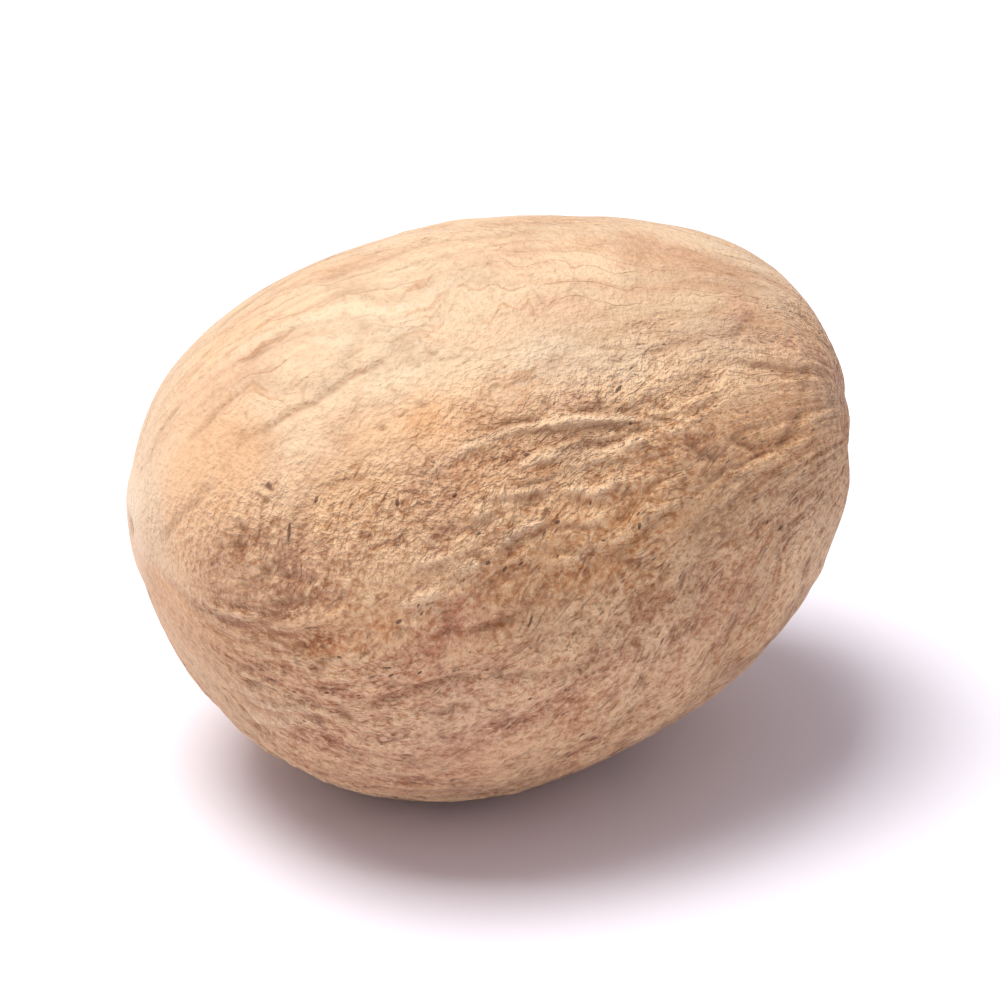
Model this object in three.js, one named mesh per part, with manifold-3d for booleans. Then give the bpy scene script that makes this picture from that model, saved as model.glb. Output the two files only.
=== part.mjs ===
// A whole dried nutmeg: one closed solid, in millimetres, lying on its side.
//
// The seed is a blunt egg. Its long axis leans a little above +X, the end at -X is the fuller one and
// carries the hilum, the pale scar where the seed was joined. The other end has the chalaza, a small
// dimple. Everything that grew along the seed, its ribs, furrows and creases, runs from the hilum to the
// chalaza, so relief is worked out in "grain" coordinates: `along` goes from -1 at the hilum to +1 at the
// chalaza, and `turn` is the angle round the seed, 0 at the top, 90 at the front, in degrees.
//
// +Z is up, +X points to the chalaza end, and the origin is on the small flat that the seed rests on,
// below the middle of the seed.

import * as THREE from "three";
import { mergeVertices } from "three/addons/utils/BufferGeometryUtils.js";
import Module from "manifold-3d";

// ---------------------------------------------------------------- driving dimensions

const LENGTH = 27.0; // hilum end to chalaza end, before relief
const WIDTH = 21.2; // across the middle, front to back
const HEIGHT = 20.0; // across the middle, top to bottom
const TAPER = -0.085; // share by which the girth changes towards the chalaza end
const FULLNESS = 0.121; // share by which the ends are fuller than an ellipsoid's
const SAG = 0.83; // how far the middle of the seed hangs below its ends
const LEAN = 6.0; // degrees that the chalaza end is raised
const REST_DEPTH = 0.36; // how much of the underside the resting flat takes off

const GRAIN_AXIS = new THREE.Vector3(0.962, -0.26, -0.09).normalize(); // towards the chalaza
// Radians that the grain turns back by, for each unit along.
const GRAIN_TWIST = { crown: -0.15, front: 1.15, back: 0.4 };
const SURFACE_DETAIL = 23; // each icosahedron edge is split this many times, plus one
const FRONT_PULL = 0.3; // how far the mesh's corners crowd towards the front, where the creases are finest

const UNDULATION = 0.12; // low lumps, in any direction
const RIB_HEIGHT = 0.09; // broad lengthwise ribs
const FURROW = { depth: 0.07, width: 0.16 }; // the net of furrows between the ribs
const PLEAT_HEIGHT = 0.07; // long narrow ridges, off the crown
const CROWN = { front: 40.5, back: -50, blend: 15 }; // edges of the smooth crown, in degrees round the seed
const HILUM = { radius: 2.3, height: 0.14 };
const CHALAZA = { radius: 1.9, depth: 0.6, rays: 9, rayDepth: 0.12 };

// Broad hollows left by drying. Size is an angle seen from the middle of the seed, in degrees.
const HOLLOWS = [
  { name: "hilum_shoulder", along: -0.86, turn: 118, depth: 0.36, size: 19 },
  { name: "back_hollow", along: -0.45, turn: -118, depth: 0.5, size: 21 },
  { name: "crown_hollow", along: 0.35, turn: -28, depth: 0.2, size: 17 },
];

// Creases, each between two places given as [along, turn]. bow and sway bend the line between them.
// depth is a groove's, lip is a ridge's height, and trench is how far the ground drops below the line,
// over a strip that is floor wide. width is the groove's or ridge's half width.
const CREASE = { bow: 0, sway: 0, depth: 0, lip: 0, trench: 0, width: 0.36, floor: 0.5 };
const CREASES = [
  { name: "lens_rim", start: [-0.38, 57.2], end: [0.26, 47.4], bow: 1, lip: 0.13, trench: 0.12, floor: 1.1 },
  { name: "lens_lower_lip", start: [-0.12, 54.7], end: [0.29, 51.4], bow: 0.08, sway: 0.19, lip: 0.11 },
  { name: "lens_brow", start: [-0.14, 45.8], end: [0.29, 45.7], bow: 0.25, depth: 0.07 },
  { name: "upper_step", start: [-0.17, 58.6], end: [0.02, 58.3], lip: 0.1, trench: 0.07 },
  { name: "upper_step_end", start: [0.02, 58.4], end: [0.22, 58.4], bow: -0.38, lip: 0.1, trench: 0.07 },
  { name: "middle_step", start: [-0.22, 61.9], end: [-0.06, 60.1], lip: 0.09, trench: 0.08 },
  { name: "lower_step", start: [-0.16, 68.3], end: [-0.01, 64.3], bow: 0.16, lip: 0.15, trench: 0.09 },
  { name: "front_step", start: [-0.42, 79.5], end: [-0.19, 71.2], bow: -0.1, lip: 0.11, trench: 0.07 },
  { name: "front_groove", start: [-0.36, 83.6], end: [-0.06, 83.9], bow: 0.09, sway: -0.16, depth: 0.1 },
  { name: "belly_fold_start", start: [-0.67, 99.5], end: [-0.54, 90], bow: 0.16, depth: 0.13 },
  { name: "belly_fold", start: [-0.54, 105], end: [-0.17, 92], bow: 0.37, depth: 0.16 },
  { name: "belly_fold_end", start: [-0.22, 93], end: [0.33, 90.8], bow: -0.58, depth: 0.1 },
  { name: "belly_lip", start: [-0.83, 128.8], end: [-0.61, 109.7], lip: 0.09, trench: 0.08 },
  { name: "belly_lower_lip", start: [-0.81, 141.8], end: [-0.6, 112.3], lip: 0.08, trench: 0.08 },
  { name: "crown_line", start: [-0.79, 37.5], end: [-0.31, 24.2], bow: -0.5, depth: 0.1 },
  { name: "crown_near_line", start: [-0.89, 27.7], end: [-0.71, 20.9], bow: -0.17, depth: 0.08 },
  { name: "crown_far_line", start: [-0.71, 5.5], end: [0.05, -2.6], bow: -0.2, depth: 0.08 },
  { name: "hilum_line", start: [-0.97, 78.7], end: [-0.82, 47], depth: 0.08 },
  { name: "end_line", start: [0.36, 43.8], end: [0.54, 38], depth: 0.13 },
  { name: "end_upper_line", start: [0.29, 33.8], end: [0.5, 30], depth: 0.09 },
  { name: "end_top_line", start: [0.51, 29.9], end: [0.68, 19.1], bow: -0.24, depth: 0.09 },
  { name: "end_fold", start: [0.4, 52.8], end: [0.53, 58.9], bow: -0.25, depth: 0.14 },
  { name: "end_lower_fold", start: [0.52, 53.6], end: [0.64, 58.2], bow: -0.13, depth: 0.12 },
  { name: "raphe", start: [-0.97, -84], end: [0.12, -74], bow: 0.5, depth: 0.3, width: 0.85 },
  { name: "raphe_end", start: [-0.12, -74], end: [0.95, -80], bow: -0.4, depth: 0.3, width: 0.85 },
];
const SCATTER = { count: 44, seed: 61 }; // smaller creases, on the sides that the list above doesn't reach

// ---------------------------------------------------------------- repeatable noise

/** A repeatable whole number, 0 to 2^32 - 1, for one corner of the noise lattice. */
function cornerNumber(i, j, k, seed) {
  let h = Math.imul(i, 0x9e3779b1) ^ Math.imul(j, 0x85ebca77) ^ Math.imul(k, 0xc2b2ae3d);
  h ^= Math.imul(seed, 0x27d4eb2f);
  h = Math.imul(h ^ (h >>> 15), 0x2c1b3c6d);
  h = Math.imul(h ^ (h >>> 12), 0x297a2d39);
  return (h ^ (h >>> 15)) >>> 0;
}

/** Smooth gradient noise, about -1 to 1, with lumps about one unit across. */
function noise(x, y, z, seed) {
  const cell = [Math.floor(x), Math.floor(y), Math.floor(z)];
  const inside = [x - cell[0], y - cell[1], z - cell[2]];
  const blend = inside.map((f) => f * f * f * (f * (f * 6 - 15) + 10));
  let sum = 0;
  for (let corner = 0; corner < 8; corner += 1) {
    const step = [corner & 1, (corner >> 1) & 1, (corner >> 2) & 1];
    const h = cornerNumber(cell[0] + step[0], cell[1] + step[1], cell[2] + step[2], seed);
    let slope = 0;
    let weight = 1;
    for (let axis = 0; axis < 3; axis += 1) {
      const gradient = ((h >>> (10 * axis)) & 1023) / 511.5 - 1;
      slope += gradient * (inside[axis] - step[axis]);
      weight *= step[axis] ? blend[axis] : 1 - blend[axis];
    }
    sum += weight * slope;
  }
  return sum;
}

/** 0 below `low`, 1 above `high`, and a smooth step between them. */
function ramp(low, high, value) {
  const t = Math.min(1, Math.max(0, (value - low) / (high - low)));
  return t * t * (3 - 2 * t);
}

/** A bell curve: 1 at no distance, near 0 two widths away. */
function bump(distance, width) {
  return Math.exp(-((distance / width) ** 2));
}

// ---------------------------------------------------------------- grain coordinates

const GRAIN_TOP = new THREE.Vector3(0, 0, 1).addScaledVector(GRAIN_AXIS, -GRAIN_AXIS.z).normalize();
const GRAIN_FRONT = new THREE.Vector3().crossVectors(GRAIN_TOP, GRAIN_AXIS).negate();

/** The unit direction, from the middle of the seed, of a place given in grain coordinates. */
function grainDirection(along, turnDegrees) {
  const turn = THREE.MathUtils.degToRad(turnDegrees);
  const round = Math.sqrt(1 - along * along);
  return new THREE.Vector3()
    .addScaledVector(GRAIN_AXIS, along)
    .addScaledVector(GRAIN_TOP, round * Math.cos(turn))
    .addScaledVector(GRAIN_FRONT, round * Math.sin(turn));
}

/** Grain coordinates of a unit direction: along, turn in radians, and round, the share of full girth. */
function grainOf(direction) {
  const along = direction.dot(GRAIN_AXIS);
  const turn = Math.atan2(direction.dot(GRAIN_FRONT), direction.dot(GRAIN_TOP));
  return { along, turn, round: Math.sqrt(Math.max(0, 1 - along * along)) };
}

// ---------------------------------------------------------------- relief, in millimetres outwards

const MEAN_RADIUS = (WIDTH + HEIGHT) / 4;

/** Noise at a direction times `pitch`, so that its lumps are 1 / pitch of the mean radius across. */
function ballNoise(direction, pitch, seed) {
  return noise(direction.x * pitch, direction.y * pitch, direction.z * pitch, seed);
}

/** Noise stretched along the seed: `across` sets how many lumps go round it, `down` how many go along. */
function grainNoise({ along, turn }, across, down, seed) {
  return noise(Math.cos(turn) * across, Math.sin(turn) * across, along * down, seed);
}

/** How far the grain turns back, in radians for each unit along: least at the crown, most at the front. */
function twist(turn) {
  const degrees = THREE.MathUtils.radToDeg(turn);
  const sides = GRAIN_TWIST.front * bump(degrees - 85, 48) + GRAIN_TWIST.back * bump(degrees + 105, 50);
  return GRAIN_TWIST.crown + sides;
}

/** The same place with the twist taken out, and moved a little by low noise, as growth wanders. */
function wandered(direction, grain) {
  const drift = 0.2 * ballNoise(direction, 1.9, 31) + 0.07 * ballNoise(direction, 5, 33);
  return {
    along: grain.along + 0.14 * ballNoise(direction, 2.3, 32),
    turn: grain.turn + twist(grain.turn) * grain.along + drift,
    round: grain.round,
  };
}

function undulation(direction) {
  return UNDULATION * (ballNoise(direction, 1.7, 11) + 0.6 * ballNoise(direction, 3.4, 12));
}

/** Rounded ribs along the seed, which fade where they crowd together at the ends. */
function ribs(grown) {
  const waves = grainNoise(grown, 1.9, 1.0, 21) + 0.7 * grainNoise(grown, 3.9, 1.9, 22);
  return RIB_HEIGHT * ramp(0.2, 0.7, grown.round) * waves;
}

/** A net of furrows round long cells: they lie where stretched noise changes sign. */
function furrows(grown) {
  const net = Math.abs(grainNoise(grown, 2.6, 1.7, 41));
  const patch = 0.2 + 0.8 * ramp(-0.25, 0.35, grainNoise(grown, 1.3, 1.4, 42));
  return -FURROW.depth * patch * ramp(0.3, 0.75, grown.round) * (1 - ramp(0, FURROW.width, net));
}

/** 1 on the crown, 0 off it. The crown's front edge lies further forward towards the hilum. */
function crowned({ along, turn }) {
  const degrees = THREE.MathUtils.radToDeg(turn);
  const front = CROWN.front - 23.5 * along - 9 * along * along;
  const inside = Math.min(front - degrees, degrees - CROWN.back);
  return ramp(-CROWN.blend, CROWN.blend, inside) * (1 - ramp(0.72, 0.96, along));
}

/** Long narrow ridges along the grain, in patches, off the smooth crown: stretched noise folded at zero. */
function pleats(grain, grown) {
  const fold = Math.max(-1, 0.75 - 3.4 * Math.abs(grainNoise(grown, 7, 2.4, 56)));
  const patch = 0.3 + 0.7 * ramp(-0.3, 0.25, grainNoise(grown, 3.1, 2.3, 57));
  const cover = ramp(0.25, 0.6, grain.round) * (1 - 0.85 * crowned(grain));
  return PLEAT_HEIGHT * cover * patch * fold;
}

/** Creases for the sides away from the front, placed, bent and sized by seeded numbers. */
function scatteredCreases({ count, seed }) {
  const share = (number, part) => ((number >>> (10 * part)) & 1023) / 1023;
  return Array.from({ length: count }, (_, n) => {
    const first = cornerNumber(n, n, n, seed);
    const second = cornerNumber(n + count, n + count, n + count, seed);
    const start = [-0.85 + 1.4 * share(first, 0), 135 + 210 * share(first, 1)];
    const end = [start[0] + 0.12 + 0.3 * share(first, 2), start[1] + 16 * (share(second, 0) - 0.5)];
    const height = 0.06 + 0.1 * share(second, 2);
    const lip = share(second, 0) > 0.72 ? height : 0;
    const width = 0.36 + 0.14 * share(second, 1);
    return { start, end, bow: 0.9 * (share(second, 1) - 0.5), depth: height - lip, lip, width };
  });
}

/** A crease with the great circle that joins its ends: `first` is one end, `ahead` lies on from it. */
function creaseLine(shape) {
  const first = grainDirection(...shape.start);
  const last = grainDirection(...shape.end);
  const normal = new THREE.Vector3().crossVectors(first, last).normalize();
  const ahead = new THREE.Vector3().crossVectors(normal, first);
  return { ...CREASE, ...shape, first, ahead, normal, reach: first.angleTo(last) };
}

const CREASE_LINES = [...CREASES, ...scatteredCreases(SCATTER)].map(creaseLine);

/** One crease's groove, lip and trench, in millimetres, at a direction from the middle of the seed. */
function creaseHeights(direction, line) {
  const share = Math.atan2(direction.dot(line.ahead), direction.dot(line.first)) / line.reach;
  if (share <= 0 || share >= 1) return [0, 0, 0];
  const bend = line.bow * Math.sin(Math.PI * share) + line.sway * Math.sin(2 * Math.PI * share);
  const side = Math.asin(direction.dot(line.normal)) * MEAN_RADIUS - bend;
  const fade = ramp(0, 0.2, share) * ramp(0, 0.2, 1 - share);
  const bell = fade * bump(side, line.width);
  const below = fade * ramp(0, 0.3, -side) * (1 - ramp(line.floor, 1.2 * line.floor + 0.4, -side));
  return [line.depth * bell, line.lip * bell, line.trench * below];
}

/** All the creases: where they meet, the deepest groove, the highest lip and the deepest trench hold. */
function creases(direction) {
  const [groove, lip, trench] = CREASE_LINES.reduce(
    (most, line) => creaseHeights(direction, line).map((height, part) => Math.max(height, most[part])),
    [0, 0, 0],
  );
  return lip - groove - trench;
}

function hollows(direction) {
  return HOLLOWS.reduce((sum, hollow) => {
    const angle = direction.angleTo(grainDirection(hollow.along, hollow.turn));
    return sum - hollow.depth * bump(angle, THREE.MathUtils.degToRad(hollow.size));
  }, 0);
}

/** The hilum: a low round pad at the -X end. */
function hilumPad(grain) {
  const radius = Math.acos(Math.min(1, Math.max(-1, -grain.along))) * MEAN_RADIUS;
  return HILUM.height * (1 - ramp(HILUM.radius * 0.55, HILUM.radius, radius));
}

/** The chalaza: a dimple at the +X end, with wrinkles that run into it. */
function chalazaDimple(direction, grain) {
  const away = Math.acos(Math.min(1, Math.max(-1, grain.along))) * MEAN_RADIUS;
  const out = (away / CHALAZA.radius) * (1 + 0.3 * ballNoise(direction, 6, 91));
  const reach = ramp(0.3, 1.2, out) * (1 - ramp(1.8, 3.2, out));
  const rays = 0.5 + 0.5 * Math.cos(CHALAZA.rays * grain.turn + 1.3 * Math.sin(2 * grain.turn));
  return -CHALAZA.depth * bump(out, 1) - CHALAZA.rayDepth * reach * rays;
}

function relief(direction) {
  const grain = grainOf(direction);
  const grown = wandered(direction, grain);
  const ends = hilumPad(grain) + chalazaDimple(direction, grain);
  const broad = undulation(direction) + ribs(grown) + hollows(direction) + ends;
  return broad + furrows(grown) + pleats(grain, grown) + creases(direction);
}

// ---------------------------------------------------------------- the seed

/** The point of the surface that lies in a unit direction from the middle of the seed, before it leans. */
function surfacePoint(direction) {
  const girth = 1 + TAPER * direction.x + FULLNESS * direction.x * direction.x;
  const half = new THREE.Vector3(LENGTH / 2, WIDTH / 2, HEIGHT / 2);
  const point = direction.clone().multiply(half).multiply(new THREE.Vector3(1, girth, girth));
  point.z += SAG * (direction.x * direction.x - 1 / 3);
  const outwards = direction.clone().divide(half).normalize();
  return point.addScaledVector(outwards, relief(direction));
}

/** An icosahedron's fine mesh, crowded towards the front, with each corner moved out to the surface. */
function seedGeometry() {
  const ball = new THREE.IcosahedronGeometry(1, SURFACE_DETAIL);
  ball.deleteAttribute("normal");
  ball.deleteAttribute("uv");
  const geometry = mergeVertices(ball, 1e-5);
  const corners = geometry.attributes.position;
  const front = grainDirection(0, 60);
  for (let i = 0; i < corners.count; i += 1) {
    const corner = new THREE.Vector3().fromBufferAttribute(corners, i).normalize();
    const point = surfacePoint(corner.addScaledVector(front, FRONT_PULL).normalize());
    corners.setXYZ(i, point.x, point.y, point.z);
  }
  geometry.rotateY(THREE.MathUtils.degToRad(-LEAN));
  geometry.computeBoundingBox();
  geometry.translate(0, 0, -geometry.boundingBox.min.z - REST_DEPTH);
  return geometry;
}

const wasm = await Module();
wasm.setup();

/** A closed mesh as a solid that can be cut. */
function solidOf(geometry) {
  return new wasm.Manifold(
    new wasm.Mesh({
      numProp: 3,
      vertProperties: new Float32Array(geometry.attributes.position.array),
      triVerts: new Uint32Array(geometry.index.array),
    }),
  );
}

/** The block below the ground, which takes the resting flat off the underside. */
function groundBlock() {
  const side = 2 * LENGTH;
  const block = new THREE.BoxGeometry(side, side, side).translate(0, 0, -side / 2);
  block.deleteAttribute("normal");
  block.deleteAttribute("uv");
  return mergeVertices(block);
}

function meshOf(solid, name, material) {
  const { vertProperties, triVerts } = solid.getMesh();
  const geometry = new THREE.BufferGeometry();
  geometry.setAttribute("position", new THREE.BufferAttribute(vertProperties, 3));
  geometry.setIndex(new THREE.BufferAttribute(triVerts, 1));
  geometry.computeVertexNormals();
  const mesh = new THREE.Mesh(geometry, material);
  mesh.name = name;
  return mesh;
}

const seedShell = new THREE.MeshStandardMaterial({ color: 0xc39a73, roughness: 0.78, metalness: 0 });

const part = new THREE.Group();
part.add(meshOf(solidOf(seedGeometry()).subtract(solidOf(groundBlock())), "nutmeg", seedShell));

export default part;
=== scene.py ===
"""A whole dried nutmeg that lies on its side on a pale table.

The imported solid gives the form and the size. This script replaces it with a finer skin of the same form:
the ribs, furrows and creases are real relief in the mesh, and the finish adds the grain, the pores and
the colours. Everything that grew along the seed follows its grain, which runs from the hilum, the pale
scar at the fuller end, to the chalaza, the dimple at the other.
"""

import logging
import math
from dataclasses import dataclass, field, fields
from enum import Enum, IntEnum

import bpy
import numpy as np
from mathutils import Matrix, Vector
from numpy.typing import NDArray


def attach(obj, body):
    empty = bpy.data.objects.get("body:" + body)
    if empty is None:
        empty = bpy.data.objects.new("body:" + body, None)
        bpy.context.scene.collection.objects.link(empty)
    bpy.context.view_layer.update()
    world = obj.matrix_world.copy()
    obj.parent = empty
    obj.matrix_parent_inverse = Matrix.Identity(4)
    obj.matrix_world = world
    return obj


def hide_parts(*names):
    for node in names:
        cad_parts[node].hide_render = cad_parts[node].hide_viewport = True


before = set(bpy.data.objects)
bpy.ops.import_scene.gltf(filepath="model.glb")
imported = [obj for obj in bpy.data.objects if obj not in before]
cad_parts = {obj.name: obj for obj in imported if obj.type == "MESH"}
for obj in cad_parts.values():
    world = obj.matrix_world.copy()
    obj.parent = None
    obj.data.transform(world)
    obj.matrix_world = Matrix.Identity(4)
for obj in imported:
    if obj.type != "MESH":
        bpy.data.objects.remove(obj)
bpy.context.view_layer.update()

MM = 0.001
LOG = logging.getLogger("nutmeg")

Array = NDArray[np.float64]
Node = bpy.types.Node
Socket = bpy.types.NodeSocket
Pair = tuple[float, float]
Triple = tuple[float, float, float]


def ramp(low: float, high: float, value: Array) -> Array:
    """Smooth step: 0 below low, 1 above high, and 3t^2 - 2t^3 of the share t between them."""
    t = np.clip((value - low) / (high - low), 0.0, 1.0)
    return t * t * (3.0 - 2.0 * t)


def bump(distance: Array, width: float) -> Array:
    """Bell curve exp(-(distance / width)^2): 1 on the line and near 0 two widths away."""
    return np.exp(-((distance / width) ** 2))


def linear(red: int, green: int, blue: int) -> Triple:
    """A screen colour, 0 to 255 a channel, as linear light."""
    return tuple(((c / 255.0 + 0.055) / 1.055) ** 2.4 for c in (red, green, blue))


# ---------------------------------------------------------------- repeatable noise


@dataclass(frozen=True)
class Lattice:
    """Repeatable random numbers at whole-number points, and the noise made from them."""

    seed: int

    def numbers(self, cell: NDArray[np.int64]) -> NDArray[np.uint32]:
        """One whole number for each lattice point.

        The three indices and the seed are each multiplied by an odd constant, joined by exclusive or,
        and stirred by two rounds of shift and multiply.

        Args:
            cell: lattice points, shape (n, 3).

        Returns:
            Numbers from 0 to 2^32 - 1, shape (n,).
        """
        h = np.uint32((self.seed * 0x27D4EB2F) & 0xFFFFFFFF)
        for axis, odd in enumerate((0x9E3779B1, 0x85EBCA77, 0xC2B2AE3D)):
            h = h ^ (cell[:, axis].astype(np.uint32) * np.uint32(odd))
        h = (h ^ (h >> np.uint32(15))) * np.uint32(0x2C1B3C6D)
        h = (h ^ (h >> np.uint32(12))) * np.uint32(0x297A2D39)
        return h ^ (h >> np.uint32(15))

    @staticmethod
    def shares(numbers: NDArray[np.uint32]) -> list[Array]:
        """Three shares, 0 to 1, from the three lowest groups of ten bits of each number."""
        return [((numbers >> np.uint32(10 * part)) & np.uint32(1023)) / 1023.0 for part in range(3)]

    def noise(self, points: Array) -> Array:
        """Gradient noise, about -1 to 1, with lumps about one unit across.

        Each of a cell's eight corners has a random slope. The value is the slopes' heights at the point,
        blended by 6t^5 - 15t^4 + 10t^3 along each axis.

        Args:
            points: places, shape (n, 3).

        Returns:
            Noise values, shape (n,).
        """
        cell = np.floor(points).astype(np.int64)
        inside = points - cell
        blend = inside**3 * (inside * (inside * 6.0 - 15.0) + 10.0)
        total = np.zeros(len(points))
        for corner in range(8):
            step = np.array([corner & 1, (corner >> 1) & 1, (corner >> 2) & 1])
            weight = np.prod(np.where(step, blend, 1.0 - blend), axis=1)
            slope = np.zeros(len(points))
            for axis, share in enumerate(self.shares(self.numbers(cell + step))):
                slope += (2.0 * share - 1.0) * (inside[:, axis] - step[axis])
            total += weight * slope
        return total


class Noise(IntEnum):
    """Which noise shapes what: the number that starts each one.

    Furrows take the next number too, for their patches, and a tone's clouds take CLOUDS plus the tone's
    place in Tone.
    """

    LUMPS = 11
    SMALL_LUMPS = 12
    RIBS = 21
    SMALL_RIBS = 22
    DRIFT = 31
    STRETCH = 32
    SMALL_DRIFT = 33
    FURROWS = 41
    SMALL_FURROWS = 43
    CROWN_EDGE = 50
    COVER = 51
    WRINKLES = 52
    SMALL_WRINKLES = 53
    GRIT = 54
    SMALL_GRIT = 55
    PLEATS = 56
    PLEAT_PATCHES = 57
    SMALL_COVER = 58
    FINE_COVER = 59
    WAVES = 60
    SMALL_CROWN_EDGE = 61
    WANDER = 71
    SMALL_WANDER = 72
    BREAKS = 73
    SMALL_BREAKS = 74
    CLOUDS = 80
    CHALAZA = 91


# ---------------------------------------------------------------- grain coordinates


@dataclass(frozen=True)
class Place:
    """Places on the skin, in grain coordinates."""

    direction: Array  # unit directions from the middle of the seed, shape (n, 3)
    along: Array  # -1 at the hilum, 1 at the chalaza
    turn: Array  # angle round the seed in radians, 0 at the top, a quarter turn at the front
    girth: Array  # share of the full girth at this place, 0 at both ends

    def degrees(self) -> Array:
        """The turn in degrees, -180 to 180."""
        return np.degrees(np.arctan2(np.sin(self.turn), np.cos(self.turn)))

    def lumps(self, seed: int, pitch: float) -> Array:
        """Noise with no direction of its own: pitch is how many lumps lie in one mean radius."""
        return Lattice(seed).noise(self.direction * pitch)

    def streaks(self, seed: int, across: float, down: float) -> Array:
        """Noise that runs along the seed: across sets its pitch round it, down its pitch along it."""
        circle = np.cos(self.turn) * across, np.sin(self.turn) * across
        return Lattice(seed).noise(np.stack([*circle, self.along * down], axis=1))


@dataclass(frozen=True)
class Grain:
    """The line from hilum to chalaza, and how what grew along it twists and wanders."""

    axis: Triple = (0.962, -0.26, -0.09)
    crown_twist: float = -0.15  # radians that the grain turns back by for each unit along
    front_twist: float = 1.15
    back_twist: float = 0.4
    front: Pair = (85.0, 48.0)  # middle and reach of the front's twist, in degrees
    back: Pair = (-105.0, 50.0)
    drift: float = 0.2  # radians that low noise moves the grain round the seed
    small_drift: float = 0.07
    stretch: float = 0.14  # how far low noise moves it along the seed

    def twist(self, turn: Array) -> Array:
        """The twist at turns in degrees: least at the crown, bell curves at the front and the back."""
        sides = self.front_twist * bump(turn - self.front[0], self.front[1])
        return self.crown_twist + sides + self.back_twist * bump(turn - self.back[0], self.back[1])

    def basis(self) -> tuple[Array, Array, Array]:
        """The grain's own unit directions: to the chalaza, to the top and to the front.

        The top is straight up less its part along the axis. The front is square to both.

        Returns:
            The three unit directions.
        """
        axis = np.array(self.axis) / np.linalg.norm(self.axis)
        top = np.array([0.0, 0.0, 1.0]) - axis[2] * axis
        top /= np.linalg.norm(top)
        return axis, top, -np.cross(top, axis)

    def place(self, along: Array, turn: Array) -> Place:
        """Places from grain coordinates: along times the axis, plus the circle of that girth at the turn.

        Args:
            along: -1 at the hilum to 1 at the chalaza, shape (n,).
            turn: angles round the seed in radians, shape (n,).

        Returns:
            The places.
        """
        axis, top, front = self.basis()
        girth = np.sqrt(np.clip(1.0 - along * along, 0.0, 1.0))
        circle = np.cos(turn)[:, None] * top + np.sin(turn)[:, None] * front
        return Place(along[:, None] * axis + girth[:, None] * circle, along, turn, girth)

    def directions(self, *places: Pair) -> Array:
        """Unit directions, shape (n, 3), of places given as along and turn in degrees."""
        along, turn = np.array(places).T
        return self.place(along, np.radians(turn)).direction

    def grown(self, place: Place) -> Place:
        """Places with the twist taken out and moved by low noise, as growth wanders.

        Args:
            place: places on the skin.

        Returns:
            The places where patterns that run along the grain are read.
        """
        drift = self.drift * place.lumps(Noise.DRIFT, 1.9)
        drift += self.small_drift * place.lumps(Noise.SMALL_DRIFT, 5.0)
        turn = place.turn + self.twist(place.degrees()) * place.along + drift
        along = place.along + self.stretch * place.lumps(Noise.STRETCH, 2.3)
        return Place(place.direction, along, turn, place.girth)


@dataclass(frozen=True)
class SeedForm:
    """The plain form: a blunt egg that leans and sags a little. Lengths are in millimetres."""

    length: float = 27.0
    width: float = 21.2
    height: float = 20.0
    taper: float = -0.085
    fullness: float = 0.121
    sag: float = 0.83
    lean: float = 6.0
    rest_depth: float = 0.36

    @property
    def mean_radius(self) -> float:
        """Half the mean of width and height."""
        return (self.width + self.height) / 4.0

    def skin(self, direction: Array, relief: Array) -> Array:
        """The skin's points, standing on the ground.

        An ellipsoid's point for each direction, its girth scaled by 1 + taper x + fullness x^2, lifted by
        sag (x^2 - 1/3), and moved out by the relief along the ellipsoid's normal. Then the form leans, is
        set down rest_depth into the ground, and what is below the ground is pressed flat.

        Args:
            direction: unit directions, shape (n, 3).
            relief: heights over the plain form, shape (n,).

        Returns:
            Points in millimetres, shape (n, 3).
        """
        half = np.array([self.length, self.width, self.height]) / 2.0
        x = direction[:, 0]
        girth = 1.0 + self.taper * x + self.fullness * x * x
        points = direction * half
        points[:, 1:] *= girth[:, None]
        points[:, 2] += self.sag * (x * x - 1.0 / 3.0)
        outwards = direction / half
        outwards /= np.linalg.norm(outwards, axis=1)[:, None]
        points += outwards * relief[:, None]
        c, s = math.cos(math.radians(self.lean)), math.sin(math.radians(self.lean))
        points = points @ np.array([[c, 0.0, s], [0.0, 1.0, 0.0], [-s, 0.0, c]])
        points[:, 2] -= points[:, 2].min() + self.rest_depth
        points[:, 2] = np.maximum(points[:, 2], 0.0)
        return points


# ---------------------------------------------------------------- relief, in millimetres outwards


@dataclass(frozen=True)
class Undulation:
    """Low lumps in any direction, and broad lengthwise ribs."""

    lump: float = 0.12
    rib: float = 0.09

    def height(self, place: Place, grown: Place) -> Array:
        """Two octaves of lumps, plus two of stretched ribs that fade where they crowd at the ends.

        Args:
            place: places on the skin.
            grown: the same places as they grew.

        Returns:
            Heights, shape (n,).
        """
        lumps = place.lumps(Noise.LUMPS, 1.7) + 0.6 * place.lumps(Noise.SMALL_LUMPS, 3.4)
        ribs = grown.streaks(Noise.RIBS, 1.9, 1.0) + 0.7 * grown.streaks(Noise.SMALL_RIBS, 3.9, 1.9)
        return self.lump * lumps + self.rib * ramp(0.2, 0.7, grown.girth) * ribs


@dataclass(frozen=True)
class Furrows:
    """A net of furrows round long cells: they lie where stretched noise changes sign."""

    depth: float
    across: float
    down: float
    width: float
    seed: int

    def strength(self, grown: Place) -> Array:
        """1 on a furrow's line, 0 beside it, in patches that are strong or weak, and 0 at both ends.

        Args:
            grown: places as they grew.

        Returns:
            Strengths, shape (n,).
        """
        patch = 0.2 + 0.8 * ramp(-0.25, 0.35, grown.streaks(self.seed + 1, 1.3, 1.4))
        net = np.abs(grown.streaks(self.seed, self.across, self.down))
        return patch * ramp(0.3, 0.75, grown.girth) * (1.0 - ramp(0.0, self.width, net))


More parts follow.
